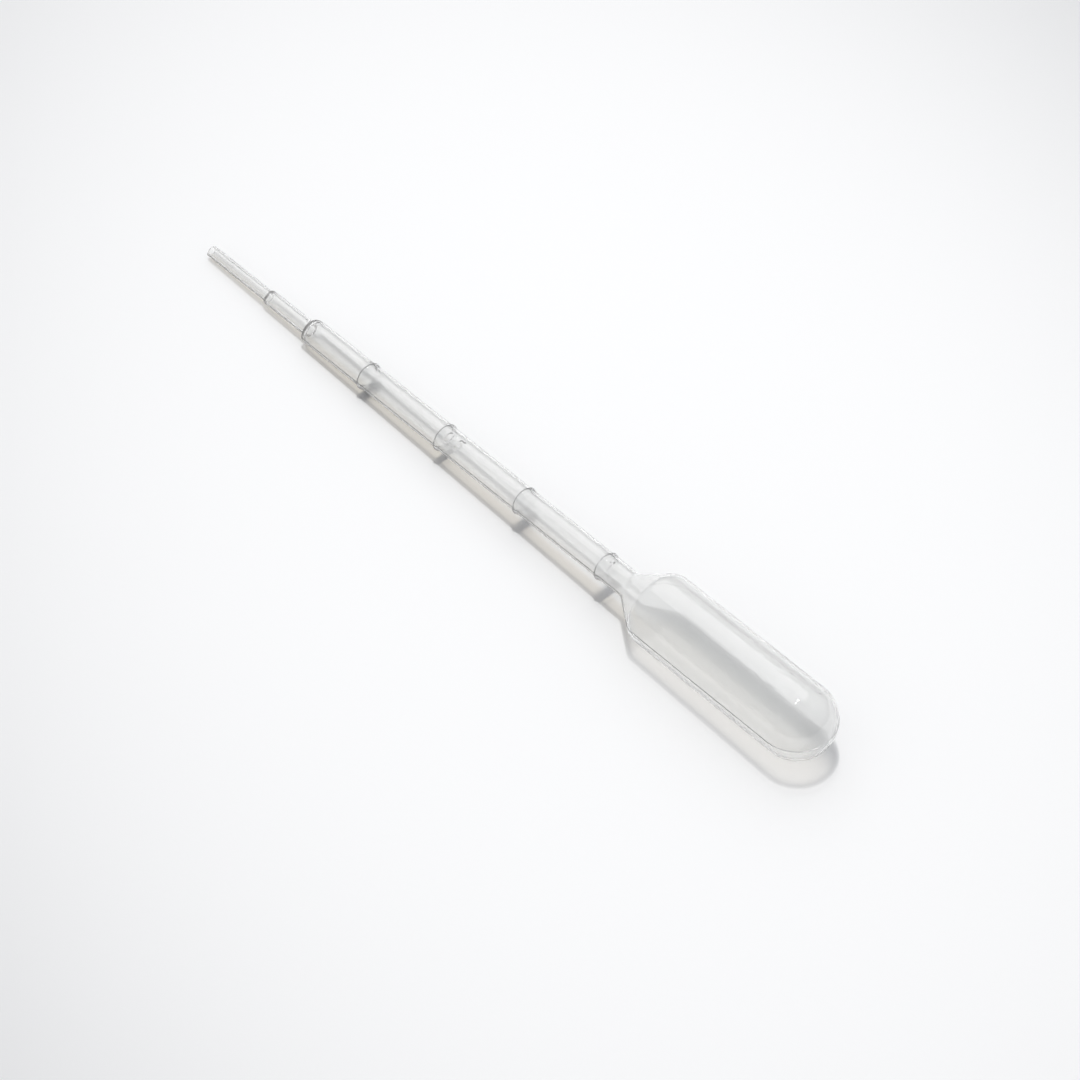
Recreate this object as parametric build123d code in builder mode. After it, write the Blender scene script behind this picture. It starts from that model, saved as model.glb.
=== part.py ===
from build123d import *
import os
from math import asin, atan2, cos, hypot, pi, sin, tan

# A dropper pipette, blow-moulded in one piece from low-density polyethylene: a slim open tip, a wider neck,
# a long stem with a raised ring for each graduation, and a squeeze bulb with a round end, all about one axis
# and hollow from end to end. It lies on a surface as it comes to rest, on the rim of its tip and the front
# edge of its bulb, with the tip towards -X. The origin is on that surface, at the middle of the pipette.
# Sizes are in millimetres.

# Lengths along the axis, one after the other from the open end
tip_length = 15.6
neck_length = 10.9
stem_length = 79.8
cone_length = 6.0
bulb_length = 37.7

# Outside diameters
tip_diameter = 2.15
neck_diameter = 2.75
stem_diameter = 4.7
bulb_diameter = 13.0

# Wall thicknesses: the tip's also serves the neck, and the stem's the cone
tip_wall = 0.4
stem_wall = 0.33
bulb_wall = 0.4

# Roundings of the outside where its diameter changes
tip_step_rounding = 0.2
neck_step_rounding = 0.85
cone_root_rounding = 1.5
bulb_edge_rounding = 3.0
most_of_step = 0.9  # the share of a step's height that its rounding may take up

# Graduation: one ring for each quarter of a millilitre, in cubic millimetres of bore
mark_volume = 250.0
mark_count = 4
mark_width = 1.4
mark_height = 0.25
groove_depth = 0.1  # each ring shows inside too, as a shallow groove

# The parting line that the two halves of the mould leave all round, level with the axis
seam_width = 0.3
seam_height = 0.07

# Radii, and stations along the axis
tip_radius = tip_diameter / 2
neck_radius = neck_diameter / 2
stem_radius = stem_diameter / 2
bulb_radius = bulb_diameter / 2
stem_start = tip_length + neck_length
cone_start = stem_start + stem_length
bulb_start = cone_start + cone_length
pipette_length = bulb_start + bulb_length
dome_centre = pipette_length - bulb_radius
cone_turn = atan2(bulb_radius - stem_radius, cone_length)
tip_crown = min(tip_step_rounding, most_of_step * (neck_radius - tip_radius))
neck_crown = min(neck_step_rounding, most_of_step * (stem_radius - neck_radius))

# The same for the bore, one wall inside
tip_bore = tip_radius - tip_wall
neck_bore = neck_radius - tip_wall
stem_bore = stem_radius - stem_wall
bulb_bore = bulb_radius - bulb_wall
neck_bore_start = tip_length + tip_wall
stem_bore_start = stem_start + stem_wall
cone_bore_start = cone_start + stem_wall * tan(cone_turn / 2)
bulb_bore_start = bulb_start + bulb_wall * tan(cone_turn / 2)
bore_crown = neck_crown - stem_wall

# A ring stands wherever the bore in front of it holds a whole number of mark volumes
narrow_volume = pi * tip_bore**2 * neck_bore_start + pi * neck_bore**2 * (stem_bore_start - neck_bore_start)
mark_pitch = mark_volume / (pi * stem_bore**2)
first_mark = stem_bore_start + mark_pitch - narrow_volume / (pi * stem_bore**2)
mark_margin = mark_width + neck_step_rounding
marks = [
    station
    for station in (first_mark + number * mark_pitch for number in range(mark_count))
    if stem_start + mark_margin < station < cone_start - mark_margin
]

# At rest the axis rises from the tip to the bulb, along the line that touches the tip's rim and the bulb's edge
edge_station = bulb_start + bulb_edge_rounding * tan(cone_turn / 2)
edge_depth = bulb_radius - bulb_edge_rounding - tip_radius
rest_tilt = atan2(edge_depth, edge_station) + asin(bulb_edge_rounding / hypot(edge_station, edge_depth))
along = Vector(cos(rest_tilt), 0, sin(rest_tilt))
upwards = Vector(-sin(rest_tilt), 0, cos(rest_tilt))
tip_x = (tip_radius * sin(rest_tilt) - dome_centre * cos(rest_tilt) - bulb_radius) / 2
tip_centre = Vector(tip_x, 0, tip_radius * cos(rest_tilt))
upright_plane = Plane(tip_centre, x_dir=along, z_dir=along.cross(upwards))
parting_plane = Plane(tip_centre, x_dir=along, z_dir=upwards)
axis = Axis(tip_centre, along)


def half_section(corners, ring_base, ring_height):
    """Half of a section through the axis: corners as (station, radius, rounding), then a dome, then the rings."""
    points = [(station, radius) for station, radius, rounding in corners]
    end_radius = corners[-1][1]
    with BuildSketch() as section:
        with BuildLine():
            side = Polyline((0, 0), *points, (dome_centre, end_radius))
            dome = RadiusArc(side @ 1, (dome_centre + end_radius, 0), end_radius)
            Line(dome @ 1, side @ 0)
        make_face()
        for station, radius, rounding in corners:
            if rounding > 0:
                fillet(section.vertices().sort_by_distance((station, radius))[0], rounding)
        for station in marks:
            start = (station - mark_width / 2, ring_base)
            end = (station + mark_width / 2, ring_base)
            with BuildLine():
                ThreePointArc(start, (station, ring_base + ring_height), end)
                Line(end, start)
            make_face()
    return section.sketch


outside_corners = [
    (0, tip_radius, 0),
    (tip_length, tip_radius, 0),
    (tip_length, neck_radius, tip_crown),
    (stem_start, neck_radius, 0),
    (stem_start, stem_radius, neck_crown),
    (cone_start, stem_radius, cone_root_rounding),
    (bulb_start, bulb_radius, bulb_edge_rounding),
]
bore_corners = [
    (0, tip_bore, 0),
    (neck_bore_start, tip_bore, 0),
    (neck_bore_start, neck_bore, 0),
    (stem_bore_start, neck_bore, 0),
    (stem_bore_start, stem_bore - bore_crown, 0),
    (stem_bore_start + bore_crown, stem_bore, 0),
    (cone_bore_start, stem_bore, cone_root_rounding + stem_wall),
    (bulb_bore_start, bulb_bore, bulb_edge_rounding - bulb_wall),
]
outside = half_section(outside_corners, stem_radius, mark_height)
bore = half_section(bore_corners, stem_bore, groove_depth)

with BuildPart() as pipette:
    with BuildSketch(upright_plane):
        add(outside)
    revolve(axis=axis)
    with BuildSketch(parting_plane):
        add(outside)
        mirror(about=Plane.XZ)
        offset(amount=seam_height)
        Rectangle(2 * seam_height, 2 * tip_diameter, align=(Align.MAX, Align.CENTER), mode=Mode.SUBTRACT)
    extrude(amount=seam_width / 2, both=True)
    with BuildSketch(upright_plane):
        add(bore)
    revolve(axis=axis, mode=Mode.SUBTRACT)

pipette.part.label = "pipette"
os.makedirs("parts", exist_ok=True)
export_step(pipette.part, "parts/pipette.step")
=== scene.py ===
import bpy
from math import asin, atan2, cos, hypot, pi, radians, sin, sqrt, tan
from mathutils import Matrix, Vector, noise


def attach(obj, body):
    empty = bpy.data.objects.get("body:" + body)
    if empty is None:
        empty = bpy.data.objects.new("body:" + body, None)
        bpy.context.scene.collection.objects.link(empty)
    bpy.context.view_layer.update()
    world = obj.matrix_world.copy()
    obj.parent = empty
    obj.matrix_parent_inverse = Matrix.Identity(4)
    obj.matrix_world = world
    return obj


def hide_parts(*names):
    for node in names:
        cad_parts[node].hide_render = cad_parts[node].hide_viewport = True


# A dropper pipette, blow-moulded from low-density polyethylene: one dense skin in place of the CAD's node, a
# see-through material, a plain pale floor and studio lamps. The skin is worked out in millimetres, along and
# round the pipette's own axis, and set down in the frame in metres.

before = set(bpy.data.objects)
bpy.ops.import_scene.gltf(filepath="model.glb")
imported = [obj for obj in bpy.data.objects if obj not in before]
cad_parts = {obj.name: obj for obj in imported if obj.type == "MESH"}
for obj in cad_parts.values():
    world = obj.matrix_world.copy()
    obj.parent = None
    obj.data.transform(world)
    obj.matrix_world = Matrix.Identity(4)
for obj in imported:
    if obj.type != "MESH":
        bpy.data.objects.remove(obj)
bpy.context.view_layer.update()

# ---------------------------------------------------------------- sizes in mm, most of them as in the CAD
TIP_LENGTH, NECK_LENGTH, STEM_LENGTH, CONE_LENGTH, BULB_LENGTH = 15.6, 10.9, 79.8, 6.0, 37.7
TIP_R, NECK_R, STEM_R, BULB_R = 1.075, 1.375, 2.35, 6.5
TIP_WALL, STEM_WALL, BULB_WALL = 0.4, 0.33, 0.4
TIP_STEP, NECK_STEP, CONE_ROOT, BULB_EDGE = 0.2, 0.85, 1.5, 3.0
MARK_VOLUME, MARK_COUNT, MARK_WIDTH = 250.0, 4, 1.4
SEAM_HEIGHT = 0.07

# a graduation ring and the groove behind it: foot and crest from its middle, with the tip's side negative
RING_FOOT, RING_CREST, RING_HEIGHT = -0.44, -0.2, 0.23
GROOVE_FOOT, GROOVE_CREST, GROOVE_HEIGHT = -0.56, -0.26, 0.18
RISE_STEPS, FALL_STEPS = 8, 12
# how far from a ring's middle its painted shade reaches, and the painted brighter light just beside it
SHADE_REACH, BRIGHT_REACH = 0.8, 1.35

# longest gap between two circles of points outside and inside, and the steps of the round end
OUTER_GAP, INNER_GAP, DOME_STEPS = 1.4, 2.0, 28
# the last plain run of the bulb has a circle of points every half millimetre, for its dents
DENT_RUN, DENT_GAP = 20, 0.5
DENT_DEPTH, DENT_SCALE, DENT_START, DENT_FADE = 0.09, 1.1, 16, 10
# the dents' middle round the axis, how far from it they end and over how much they fade, in radians
DENT_MIDDLE, DENT_REACH, DENT_EDGE = -0.45, 1.4, 0.8
# unevenness of the wall outside and inside: amount and place in the noise, and how fast it varies
OUTER_SWAY, INNER_SWAY = (0.012, 3.0), (0.015, 11.0)
SWAY_ALONG, SWAY_ROUND = 0.055, 1.3
TIP_BREAK = 0.03  # the broken edge of the open end
# the bore's steps to the neck and to the stem are longer and rounder than the CAD's: how far they reach before
# and past the CAD's place, and the roundings at their start and end
NECK_BEFORE, NECK_PAST, NECK_START, NECK_END = 0.5, 0.3, 1.0, 1.0
STEM_BEFORE, STEM_PAST, STEM_START, STEM_END = 0.3, 0.7, 0.9, 1.3

# the parting line's section: offsets across it, and the share of its height there
SEAM_OFFSETS = (-0.24, -0.17, -0.13, -0.06, 0.0, 0.06, 0.13, 0.17, 0.24)
SEAM_RISES = (0.0, 0.0, 0.75, 1.0, 1.0, 1.0, 0.75, 0.0, 0.0)
HALF = 60  # columns of points between the two parting lines
SHARP = radians(38)  # edges that turn more than this stay crisp

stem_start = TIP_LENGTH + NECK_LENGTH
cone_start = stem_start + STEM_LENGTH
bulb_start = cone_start + CONE_LENGTH
length = bulb_start + BULB_LENGTH
dome_centre = length - BULB_R
cone_turn = atan2(BULB_R - STEM_R, CONE_LENGTH)
tip_bore, neck_bore = TIP_R - TIP_WALL, NECK_R - TIP_WALL
stem_bore, bulb_bore = STEM_R - STEM_WALL, BULB_R - BULB_WALL
neck_bore_start = TIP_LENGTH + TIP_WALL
stem_bore_start = stem_start + STEM_WALL

# each ring stands where the bore in front of it holds a whole number of mark volumes
narrow_volume = pi * tip_bore**2 * neck_bore_start + pi * neck_bore**2 * (stem_bore_start - neck_bore_start)
mark_pitch = MARK_VOLUME / (pi * stem_bore**2)
first_mark = stem_bore_start + mark_pitch - narrow_volume / (pi * stem_bore**2)
marks = [first_mark + i * mark_pitch for i in range(MARK_COUNT)]

# the raised numerals: ring, how far past its middle they start, and text
NUMERALS = ((1, 1.1, "0.5"), (3, 1.1, "1"))
NUMERAL_SIZE, NUMERAL_STROKE, NUMERAL_RISE, NUMERAL_ANGLE = 2.1, 0.15, 0.2, radians(-18)
NUMERAL_GAP, NUMERAL_MARGIN, GLYPH_ROOM, GLYPH_SPACE = 0.09, 0.3, 1.45, 0.16
GLYPH_EDGE = 0.2  # how far past its box a glyph can still raise the skin
numeral_stations = [marks[ring] + gap - NUMERAL_MARGIN + NUMERAL_GAP * k
                    for ring, gap, text in NUMERALS
                    for k in range(int((2 * NUMERAL_MARGIN + GLYPH_ROOM * len(text)) / NUMERAL_GAP))]

# it lies on the rim of its tip and the front edge of its bulb
edge_station = bulb_start + BULB_EDGE * tan(cone_turn / 2)
edge_depth = BULB_R - BULB_EDGE - TIP_R
tilt = atan2(edge_depth, edge_station) + asin(BULB_EDGE / hypot(edge_station, edge_depth))
along = Vector((cos(tilt), 0, sin(tilt)))
upwards = Vector((-sin(tilt), 0, cos(tilt)))
across = Vector((0, 1, 0))
tip_centre = Vector(((TIP_R * sin(tilt) - dome_centre * cos(tilt) - BULB_R) / 2, 0, TIP_R * cos(tilt)))


def place(station, radius, angle):
    """The point in metres at a station along the axis, a radius from it and an angle round it, from the top
    towards +Y."""
    out = upwards * cos(angle) + across * sin(angle)
    return (tip_centre + along * station + out * radius) * 0.001


# ---------------------------------------------------------------- profiles
def arc_corner(before, corner, after, rounding, steps):
    """The corner's points with an arc of that radius in it."""
    b, c, a = Vector(before), Vector(corner), Vector(after)
    u, v = (b - c).normalized(), (a - c).normalized()
    half = u.angle(v) / 2
    reach = rounding / tan(half)
    centre = c + (u + v).normalized() * (rounding / sin(half))
    start, end = c + u * reach, c + v * reach
    a0 = atan2(start.y - centre.y, start.x - centre.x)
    a1 = atan2(end.y - centre.y, end.x - centre.x)
    turn = (a1 - a0 + pi) % (2 * pi) - pi
    angles = [a0 + turn * i / steps for i in range(steps + 1)]
    return [(centre.x + rounding * cos(angle), centre.y + rounding * sin(angle)) for angle in angles]


def profile(corners, end_radius, step):
    """Points (station, radius) of a line through corners (station, radius, rounding, steps) and a round end,
    with no gap over step."""
    pts = []
    for i, (s, r, rounding, steps) in enumerate(corners):
        if rounding and 0 < i < len(corners) - 1:
            pts += arc_corner(corners[i - 1][:2], (s, r), corners[i + 1][:2], rounding, steps)
        else:
            pts.append((s, r))
    for i in range(1, DOME_STEPS + 1):
        turn = pi / 2 * i / DOME_STEPS
        pts.append((dome_centre + end_radius * sin(turn), end_radius * cos(turn)))
    dent_start = dome_centre - DENT_RUN
    pts = ([p for p in pts if p[0] < dent_start]
           + [(dent_start + k * DENT_GAP, end_radius) for k in range(int(DENT_RUN / DENT_GAP))]
           + [p for p in pts if p[0] >= dome_centre])
    fine = [pts[0]]
    for p in pts[1:]:
        q = fine[-1]
        gap = hypot(p[0] - q[0], p[1] - q[1])
        n = int(gap / step) + 1
        fine += [(q[0] + (p[0] - q[0]) * k / n, q[1] + (p[1] - q[1]) * k / n) for k in range(1, n + 1)]
    return fine


def smooth(x):
    """0 to 1 with soft ends, for x from 0 to 1."""
    x = max(0.0, min(1.0, x))
    return x * x * (3 - 2 * x)


def even_fall(t):
    """1 to 0 at an even slope with soft ends, for t from 0 to 1."""
    soft = 0.2
    if t < soft:
        return 1 - t * t / (2 * soft * (1 - soft))
    if t > 1 - soft:
        return (1 - t) ** 2 / (2 * soft * (1 - soft))
    return 1 - (t - soft / 2) / (1 - soft)


def with_marks(pts, foot, crest, height, finer=()):
    """Adds the rings, steep from foot to crest and then falling gently towards the bulb, and also adds points
    at the finer stations."""
    end = MARK_WIDTH / 2
    offsets = ([foot + (crest - foot) * k / RISE_STEPS for k in range(RISE_STEPS + 1)]
               + [crest + (end - crest) * k / FALL_STEPS for k in range(1, FALL_STEPS + 1)])
    stations = sorted({m + x for m in marks for x in offsets} | set(finer))
    clear = 0.02  # from the points that are there already
    out = []
    for (s, r), nxt in zip(pts, pts[1:] + [None]):
        out.append((s, r))
        if nxt and abs(nxt[1] - r) < 1e-6:
            out += [(t, r) for t in stations if s + clear < t < nxt[0] - clear]
    res = []
    for s, r in out:
        x = min((s - m for m in marks), key=abs)
        if foot < x < crest:
            r += height * smooth((x - foot) / (crest - foot))
        elif crest <= x < end:
            r += height * even_fall((x - crest) / (end - crest))
        res.append((s, r))
    return res


# corners as (station, radius, rounding, steps)
outer = profile([
    (0, TIP_R - TIP_BREAK, 0, 0), (TIP_BREAK, TIP_R, 0, 0), (TIP_LENGTH, TIP_R, 0, 0),
    (TIP_LENGTH, NECK_R, TIP_STEP, 6), (stem_start, NECK_R, 0, 0), (stem_start, STEM_R, NECK_STEP, 12),
    (cone_start, STEM_R, CONE_ROOT, 6), (bulb_start, BULB_R, BULB_EDGE, 12), (dome_centre, BULB_R, 0, 0),
], BULB_R, OUTER_GAP)
outer = with_marks(outer, RING_FOOT, RING_CREST, RING_HEIGHT, numeral_stations)
inner = profile([
    (0, tip_bore, 0, 0), (neck_bore_start - NECK_BEFORE, tip_bore, NECK_START, 8),
    (neck_bore_start + NECK_PAST, neck_bore, NECK_END, 8),
    (stem_bore_start - STEM_BEFORE, neck_bore, STEM_START, 8),
    (stem_bore_start + STEM_PAST, stem_bore, STEM_END, 12),
    (cone_start + STEM_WALL * tan(cone_turn / 2), stem_bore, CONE_ROOT + STEM_WALL, 6),
    (bulb_start + BULB_WALL * tan(cone_turn / 2), bulb_bore, BULB_EDGE - BULB_WALL, 12),
    (dome_centre, bulb_bore, 0, 0),
], bulb_bore, INNER_GAP)
inner = with_marks(inner, GROOVE_FOOT, GROOVE_CREST, GROOVE_HEIGHT)

# ---------------------------------------------------------------- the pipette: a dense skin of the CAD's form
def columns(radius):
    """Angles round the axis, each with its share of the ridge's height, and finer there, at +Y and -Y."""
    r = max(radius, 0.45)  # near the round end's pole the ridge keeps to an arc
    res = []
    for side in (1, -1):
        seam = [(side * pi / 2 + asin(max(-1, min(1, o / r))), h) for o, h in zip(SEAM_OFFSETS, SEAM_RISES)]
        first, last = seam[-1][0], side * pi / 2 + pi + asin(SEAM_OFFSETS[0] / r)
        res += seam
        res += [(first + (last - first) * k / (HALF + 1), 0.0) for k in range(1, HALF + 1)]
    return res


def sway(station, angle, seed, amount):
    """The slight unevenness of a blown wall, towards the axis: long along it, shorter round it."""
    p = Vector((station * SWAY_ALONG, cos(angle) * SWAY_ROUND, sin(angle) * SWAY_ROUND + seed))
    return amount * (noise.noise(p) + 0.5 * noise.noise(p * 2.7) - 0.9)


def dent(station, angle):
    """Small dents of the bulb's wall, the same outside and inside, on its upper side near the round end."""
    turn = abs((angle - DENT_MIDDLE + pi) % (2 * pi) - pi)
    share = smooth((station - bulb_start - DENT_START) / DENT_FADE) * smooth((DENT_REACH - turn) / DENT_EDGE)
    if share == 0:
        return 0.0
    r = BULB_R if station < dome_centre else sqrt(max(BULB_R**2 - (station - dome_centre) ** 2, 0.01))
    p = Vector((station * DENT_SCALE, r * cos(angle) * DENT_SCALE, r * sin(angle) * DENT_SCALE))
    return DENT_DEPTH * share * min(0.0, noise.noise(p) - 0.1)


def segment_distance(p, a, b):
    """How far point p is from the line between a and b."""
    ab = (b[0] - a[0], b[1] - a[1])
    t = ((p[0] - a[0]) * ab[0] + (p[1] - a[1]) * ab[1]) / max(ab[0] ** 2 + ab[1] ** 2, 1e-9)
    t = max(0.0, min(1.0, t))
    return hypot(p[0] - a[0] - ab[0] * t, p[1] - a[1] - ab[1] * t)


def bow(cx, cy, rx, ry, start, end, n):
    """Points of a curve round (cx, cy) from angle start to end in degrees."""
    turns = [radians(start + (end - start) * k / n) for k in range(n + 1)]
    return [(cx + rx * cos(turn), cy + ry * sin(turn)) for turn in turns]


# each glyph in a box one unit high: its width and its strokes
GLYPHS = {
    "0": (0.62, [bow(0.31, 0.5, 0.27, 0.46, 0, 360, 20)]),
    ".": (0.26, [[(0.12, 0.04), (0.14, 0.04)]]),
    "5": (0.6, [[(0.52, 0.96), (0.12, 0.96), (0.08, 0.55)], bow(0.27, 0.33, 0.29, 0.29, 130, -140, 16)]),
    "1": (0.42, [[(0.06, 0.76), (0.26, 0.96), (0.26, 0.04)]]),
}


def numeral_rise(station, angle):
    """The rise of the raised numerals at a place on the stem."""
    y = (angle - NUMERAL_ANGLE + pi) % (2 * pi) - pi
    y = y * STEM_R / NUMERAL_SIZE + 0.5
    if not -GLYPH_EDGE < y < 1 + GLYPH_EDGE:
        return 0.0
    rise = 0.0
    for ring, gap, text in NUMERALS:
        x = (station - marks[ring] - gap) / NUMERAL_SIZE
        if not -GLYPH_EDGE < x < 2 + GLYPH_EDGE:
            continue
        for glyph in text:
            width, strokes = GLYPHS[glyph]
            if -GLYPH_EDGE < x < width + GLYPH_EDGE:
                d = min(segment_distance((x, y), a, b) for line in strokes for a, b in zip(line, line[1:]))
                rise = max(rise, smooth(1.5 - d * NUMERAL_SIZE / NUMERAL_STROKE))
            x -= width + GLYPH_SPACE
    return NUMERAL_RISE * rise


def ring_share(station):
    """1 on a graduation ring, -1 just beside it, 0 elsewhere: where the painted shade and light of the rings
    go.
    """
    x = min(abs(station - m) for m in marks)
    if x < SHADE_REACH:
        return 1.0
    return -1.0 if x < BRIGHT_REACH else 0.0


def narrow_share(station):
    """1 in the narrow tubes and 0 in the bulb, with the cone between."""
    return max(0.0, min(1.0, (bulb_start - station) / CONE_LENGTH))


# which side of the axis a point is on, for the painted shade in the cast shadow
def shade_side_share(station, radius, angle):
    """0 at the pipette's -Y side, 1 at its +Y side, and closer to a half where the radius is small."""
    full = BULB_R if station > bulb_start else 1.0  # the radius from which a side counts in full
    return 0.5 + 0.5 * sin(angle) * min(1.0, radius / full)


# the skin, and for each of its points what the material asks about its place
verts, faces = [], []
shares = {"ring_share": [], "narrow_share": [], "shade_side_share": []}


def add_point(station, radius, angle, ring, side):
    """Adds a point with its shares and gives its index."""
    verts.append(place(station, radius, angle))
    shares["ring_share"].append(ring)
    shares["narrow_share"].append(narrow_share(station))
    shares["shade_side_share"].append(side)
    return len(verts) - 1


def skin(pts, outside, amount, seed):
    """A circle of points for each point of the profile, with the ridges and numerals on the outside only."""
    circles = []
    for s, r in pts:
        if r < 1e-6:
            circles.append([add_point(s, 0, 0, 0.0, 0.5)])
            continue
        circle = []
        # the wall is uneven in the bulb, hardly so in the narrow tubes, and not at all at the open rim
        uneven = amount * min(1.0, r / 6.0) ** 2 * (0.0 if s < 0.1 else 1.0)
        for angle, share in columns(r):
            rr = r + (share * SEAM_HEIGHT * min(1.0, r) if outside else 0.0) + sway(s, angle, seed, uneven)
            if s > bulb_start:
                rr += dent(s, angle)
            if outside and marks[0] < s < cone_start:
                rr += numeral_rise(s, angle)
            circle.append(add_point(s, rr, angle, ring_share(s) if outside else 0.0, shade_side_share(s, r, angle)))
        circles.append(circle)
    return circles


def quads(rings, outward):
    """Joins each circle of points to the next with faces."""
    for a, b in zip(rings, rings[1:]):
        n = max(len(a), len(b))
        for k in range(n):
            j = (k + 1) % n
            f = [a[k], a[j], b[0]] if len(b) == 1 else [a[k], a[j], b[j], b[k]]
            faces.append(f if outward else f[::-1])


outer_rings = skin(outer, True, *OUTER_SWAY)
inner_rings = skin(inner, False, *INNER_SWAY)
quads(outer_rings, False)
quads(inner_rings, True)
# the rim of the open end
for k in range(len(outer_rings[0])):
    j = (k + 1) % len(outer_rings[0])
    faces.append([outer_rings[0][k], outer_rings[0][j], inner_rings[0][j], inner_rings[0][k]])
mesh = bpy.data.meshes.new("pipette_skin")
mesh.from_pydata([tuple(v) for v in verts], [], faces)
for name, values in shares.items():
    mesh.attributes.new(name, "FLOAT", "POINT").data.foreach_set("value", values)
mesh.validate()
mesh.update()
body = bpy.data.objects.new("pipette_skin", mesh)
bpy.context.scene.collection.objects.link(body)
for p in mesh.polygons:
    p.use_smooth = True
mesh.set_sharp_from_angle(angle=SHARP)

# ---------------------------------------------------------------- material
# How much light the plastic lets through to what lies behind it, as colour ramps: painted shade in its cast
# shadow. They were fitted to the shadow in the photograph and stand in for refraction in the thin wall. By how
# the wall faces the light, 0 square to it:
BULB_TONE = [(0.0, (0.99, 0.984, 0.972)), (0.3, (0.972, 0.966, 0.955)), (0.5, (0.92, 0.916, 0.908)),
             (0.75, (0.8, 0.8, 0.8)), (1.0, (0.6, 0.605, 0.61))]
STEM_TONE = [(0.0, (0.99, 0.99, 0.988)), (0.35, (0.975, 0.975, 0.973)), (0.5, (0.86, 0.86, 0.86)),
             (0.7, (0.62, 0.625, 0.63)), (1.0, (0.42, 0.425, 0.43))]
# painted shade in the cast shadow by the side of the axis, -Y at 0 and +Y at 1, though the modelled wall
# is the same all round:
BULB_SIDE_SHADE = [(0.0, (1, 1, 1)), (0.45, (0.99, 0.989, 0.988)), (0.57, (0.97, 0.97, 0.97)),
             (0.65, (0.94, 0.941, 0.942)), (0.71, (0.89, 0.894, 0.897)), (0.8, (0.79, 0.8, 0.808)),
             (0.87, (0.69, 0.704, 0.716)), (0.94, (0.76, 0.767, 0.773)), (1.0, (1, 1, 1))]
STEM_SIDE_SHADE = [(0.0, (0.8, 0.782, 0.752)), (0.15, (0.9, 0.885, 0.857)), (0.42, (0.93, 0.912, 0.88)),
             (0.6, (0.985, 0.985, 0.983)), (0.82, (0.975, 0.975, 0.975)), (0.9, (0.7, 0.705, 0.71)),
             (1.0, (0.8, 0.8, 0.8))]
# and by the rings, for their lens: painted shade under each one and painted light just beside it, 1 on it and
# 0 beside:
RING_SHADE_AND_LIGHT = [(0.0, (1.04, 1.04, 1.03)), (0.3, (1.03, 1.03, 1.02)), (0.5, (1.0, 1.0, 1.0)),
             (0.75, (0.72, 0.72, 0.72)), (1.0, (0.22, 0.235, 0.26))]


def new_material(name):
    """An empty node material, its nodes and its links."""
    m = bpy.data.materials.new(name)
    m.use_nodes = True
    m.node_tree.nodes.clear()
    return m, m.node_tree.nodes, m.node_tree.links


def add(n, kind, inputs=None, **settings):
    """A shader node with these settings and input values."""
    node = n.new("ShaderNode" + kind)
    for name, value in settings.items():
        setattr(node, name, value)
    for name, value in (inputs or {}).items():
        node.inputs[name].default_value = value
    return node


def set_ramp(node, stops):
    """Gives a colour ramp node these stops of position and colour, in rising order."""
    elements = node.color_ramp.elements
    for position, _ in stops[2:]:
        elements.new(position)
    for element, (position, colour) in zip(elements, stops):
        element.position = position
        element.color = (*colour, 1)


def ramp(n, l, factor, stops):
    """The colour that the ramp gives for a factor."""
    node = add(n, "ValToRGB")
    set_ramp(node, stops)
    l.new(factor, node.inputs["Fac"])
    return node.outputs["Color"]


def multiply(n, l, a, b):
    """The product of two colours."""
    node = add(n, "Mix", {"Factor": 1.0}, data_type="RGBA", blend_type="MULTIPLY")
    l.new(a, node.inputs["A"])
    l.new(b, node.inputs["B"])
    return node.outputs["Result"]


def share_of(n, name):
    """One of the skin's shares."""
    return add(n, "Attribute", attribute_name=name).outputs["Fac"]


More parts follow.
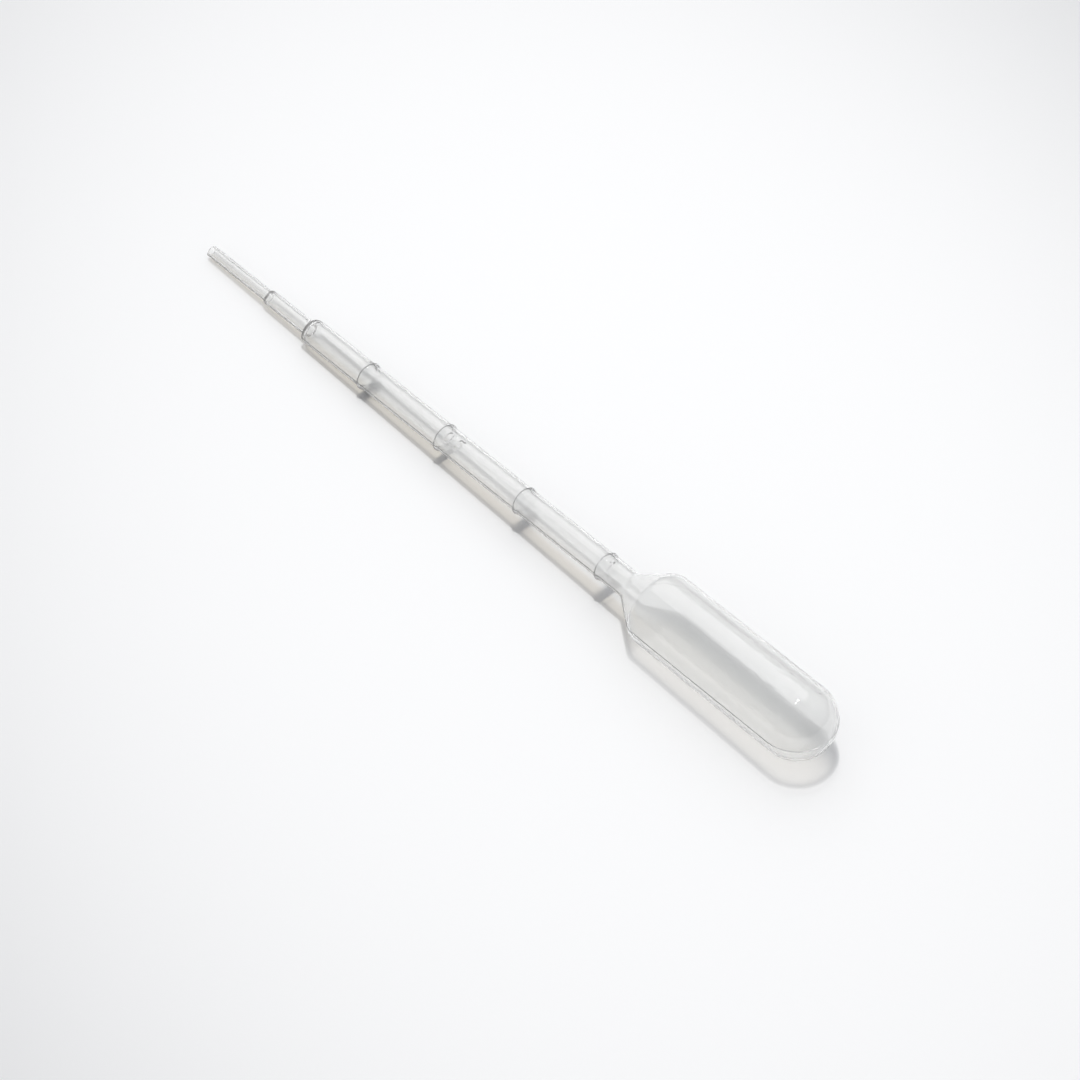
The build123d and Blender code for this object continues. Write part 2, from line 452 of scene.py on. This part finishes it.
def polyethylene():
    """Clear, slightly milky plastic with a fine drawn grain, and painted shade in its cast shadow."""
    m, n, l = new_material("polyethylene")
    out = add(n, "OutputMaterial")
    # fine drawn streaks along the axis and a softer, broader haze
    coord = add(n, "TexCoord")
    streak_map = add(n, "Mapping", {"Scale": (60, 1400, 1400)})
    streaks = add(n, "TexNoise", {"Scale": 1.0, "Detail": 3.0})
    haze = add(n, "TexNoise", {"Scale": 220.0, "Detail": 1.0})
    l.new(coord.outputs["Object"], streak_map.inputs["Vector"])
    l.new(streak_map.outputs["Vector"], streaks.inputs["Vector"])
    l.new(coord.outputs["Object"], haze.inputs["Vector"])
    rough = add(n, "MapRange", {"From Min": 0.3, "From Max": 0.7, "To Min": 0.03, "To Max": 0.055})
    l.new(haze.outputs["Fac"], rough.inputs["Value"])
    streak_bump = add(n, "Bump", {"Strength": 0.06, "Distance": 0.00001})
    haze_bump = add(n, "Bump", {"Strength": 0.06, "Distance": 0.000015})
    l.new(streaks.outputs["Fac"], streak_bump.inputs["Height"])
    l.new(haze.outputs["Fac"], haze_bump.inputs["Height"])
    l.new(streak_bump.outputs["Normal"], haze_bump.inputs["Normal"])
    plastic = add(n, "BsdfPrincipled", {
        "Base Color": (0.985, 0.987, 0.984, 1), "Transmission Weight": 0.9, "IOR": 1.51})
    l.new(rough.outputs["Result"], plastic.inputs["Roughness"])
    l.new(haze_bump.outputs["Normal"], plastic.inputs["Normal"])
    # light on its way to other surfaces passes straight through, tinted by the ramps: painted shade in the
    # cast shadow
    facing = add(n, "LayerWeight", {"Blend": 0.5}).outputs["Facing"]
    # the side share places the painted shade of the side ramps
    side = share_of(n, "shade_side_share")
    part = add(n, "Mix", data_type="RGBA")
    l.new(share_of(n, "narrow_share"), part.inputs["Factor"])
    l.new(multiply(n, l, ramp(n, l, facing, BULB_TONE), ramp(n, l, side, BULB_SIDE_SHADE)), part.inputs["A"])
    l.new(multiply(n, l, ramp(n, l, facing, STEM_TONE), ramp(n, l, side, STEM_SIDE_SHADE)), part.inputs["B"])
    # painted shade under the rings and painted light beside them, in the cast shadow
    centred = add(n, "MapRange", {"From Min": -1.0})
    l.new(share_of(n, "ring_share"), centred.inputs["Value"])
    lens = ramp(n, l, centred.outputs["Result"], RING_SHADE_AND_LIGHT)
    clear = add(n, "BsdfTransparent")
    l.new(multiply(n, l, part.outputs["Result"], lens), clear.inputs["Color"])
    path = add(n, "LightPath")
    thrown = add(n, "Math", operation="MAXIMUM")
    l.new(path.outputs["Is Shadow Ray"], thrown.inputs[0])
    l.new(path.outputs["Is Diffuse Ray"], thrown.inputs[1])
    mix = add(n, "MixShader")
    l.new(thrown.outputs["Value"], mix.inputs["Fac"])
    l.new(plastic.outputs["BSDF"], mix.inputs[1])
    l.new(clear.outputs["BSDF"], mix.inputs[2])
    l.new(mix.outputs["Shader"], out.inputs["Surface"])
    milk = add(n, "VolumeAbsorption", {"Color": (0.0, 0.0, 0.0, 1), "Density": 35.0})
    l.new(milk.outputs["Volume"], out.inputs["Volume"])
    return m


mesh.materials.append(polyethylene())
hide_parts("pipette")
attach(body, "root")

# ---------------------------------------------------------------- floor, light, camera
# the camera's place, angles in degrees, and how far right and down of the frame's origin it looks, in metres
CAMERA_AZIMUTH, CAMERA_ELEVATION, CAMERA_DISTANCE = -41.29, 50, 0.6
AIM_RIGHT, AIM_DOWN = 0.00644, 0.00665
LENS, SENSOR = 121.77, 36
FLOOR_SIZE, FLOOR_TOP = 6, -0.00002  # in metres, just under the pipette


def direction(azimuth, elevation):
    """The way from the origin to a camera or lamp, in degrees from +X towards +Y and up from the floor."""
    a, e = radians(azimuth), radians(elevation)
    return Vector((cos(e) * cos(a), cos(e) * sin(a), sin(e)))


def floor_paper():
    """Plain pale paper with a faint grain."""
    m, n, l = new_material("floor_paper")
    out = add(n, "OutputMaterial")
    paper = add(n, "BsdfPrincipled", {
        "Base Color": (0.89, 0.893, 0.898, 1), "Roughness": 0.8, "Specular IOR Level": 0.0})
    coord = add(n, "TexCoord")
    grain = add(n, "TexNoise", {"Scale": 900.0, "Detail": 5.0})
    grain_bump = add(n, "Bump", {"Strength": 0.08, "Distance": 0.0002})
    l.new(coord.outputs["Object"], grain.inputs["Vector"])
    l.new(grain.outputs["Fac"], grain_bump.inputs["Height"])
    l.new(grain_bump.outputs["Normal"], paper.inputs["Normal"])
    l.new(paper.outputs["BSDF"], out.inputs["Surface"])
    return m


def studio():
    """The light of the room all round, darker low down and paler overhead."""
    world = bpy.data.worlds.new("studio")
    world.use_nodes = True
    n, l = world.node_tree.nodes, world.node_tree.links
    n.clear()
    out = add(n, "OutputWorld")
    background = add(n, "Background", {"Strength": 1.0})
    coord = add(n, "TexCoord")
    height = add(n, "SeparateXYZ")
    l.new(coord.outputs["Generated"], height.inputs["Vector"])
    room = ramp(n, l, height.outputs["Z"], [(0.0, (0.24, 0.24, 0.245)), (0.9, (0.55, 0.554, 0.566))])
    l.new(room, background.inputs["Color"])
    l.new(background.outputs["Background"], out.inputs["Surface"])
    return world


def lamp(name, elevation, distance, size, power, colour=(1, 1, 1), beam=None, aim=(0, 0, 0), shape=(1, 1, 1)):
    """A round lamp across the origin from the camera, so that shadows fall towards the camera. It is a soft
    box, or with a beam a spot whose light falls off softly to the edge of a beam that many degrees wide,
    stretched to that shape."""
    data = bpy.data.lights.new(name, "SPOT" if beam else "AREA")
    if beam:
        data.spot_size = radians(beam)
        data.spot_blend = 1.0
        data.shadow_soft_size = size / 2
    else:
        data.shape = "DISK"
        data.size = size
    data.energy = power
    data.color = colour
    o = bpy.data.objects.new(name, data)
    where = direction(180 + CAMERA_AZIMUTH, elevation) * distance
    o.location = where
    o.rotation_euler = (Vector(aim) - where).to_track_quat("-Z", "Y").to_euler()
    o.scale = shape
    bpy.context.scene.collection.objects.link(o)
    return o


bpy.ops.mesh.primitive_plane_add(size=FLOOR_SIZE, location=(0, 0, FLOOR_TOP))
floor_obj = bpy.context.object
floor_obj.name = "floor"
floor_obj.data.materials.append(floor_paper())

# the key lamp makes the shadows, and the falloff of its beam makes the floor's corners darker. The highlights
# are set apart from it, by the two other lamps.
key = lamp("key", elevation=86.5, distance=1.2, size=0.055, power=24.4, colour=(1.0, 0.997, 0.988),
           beam=18, aim=(0.0175, 0.0139, 0), shape=(0.95, 1.5, 1))
key.visible_glossy = False
key.visible_transmission = False
lamp("sheen", elevation=53, distance=2.4, size=2.4, power=12.2)
lamp("glint", elevation=77, distance=1.2, size=0.11, power=1.1)

scene = bpy.context.scene
scene.world = studio()
scene.view_settings.view_transform = "Standard"
look = -direction(CAMERA_AZIMUTH, CAMERA_ELEVATION)
eye = -look * CAMERA_DISTANCE
right = look.cross(Vector((0, 0, 1))).normalized()
up = right.cross(look)
aim = right * AIM_RIGHT - up * AIM_DOWN
cam = bpy.data.cameras.new("camera")
cam.lens = LENS
cam.sensor_width = SENSOR
cam.clip_start = 0.01
camera = bpy.data.objects.new("camera", cam)
camera.location = eye
camera.rotation_euler = (aim - eye).to_track_quat("-Z", "Y").to_euler()
scene.collection.objects.link(camera)
scene.camera = camera
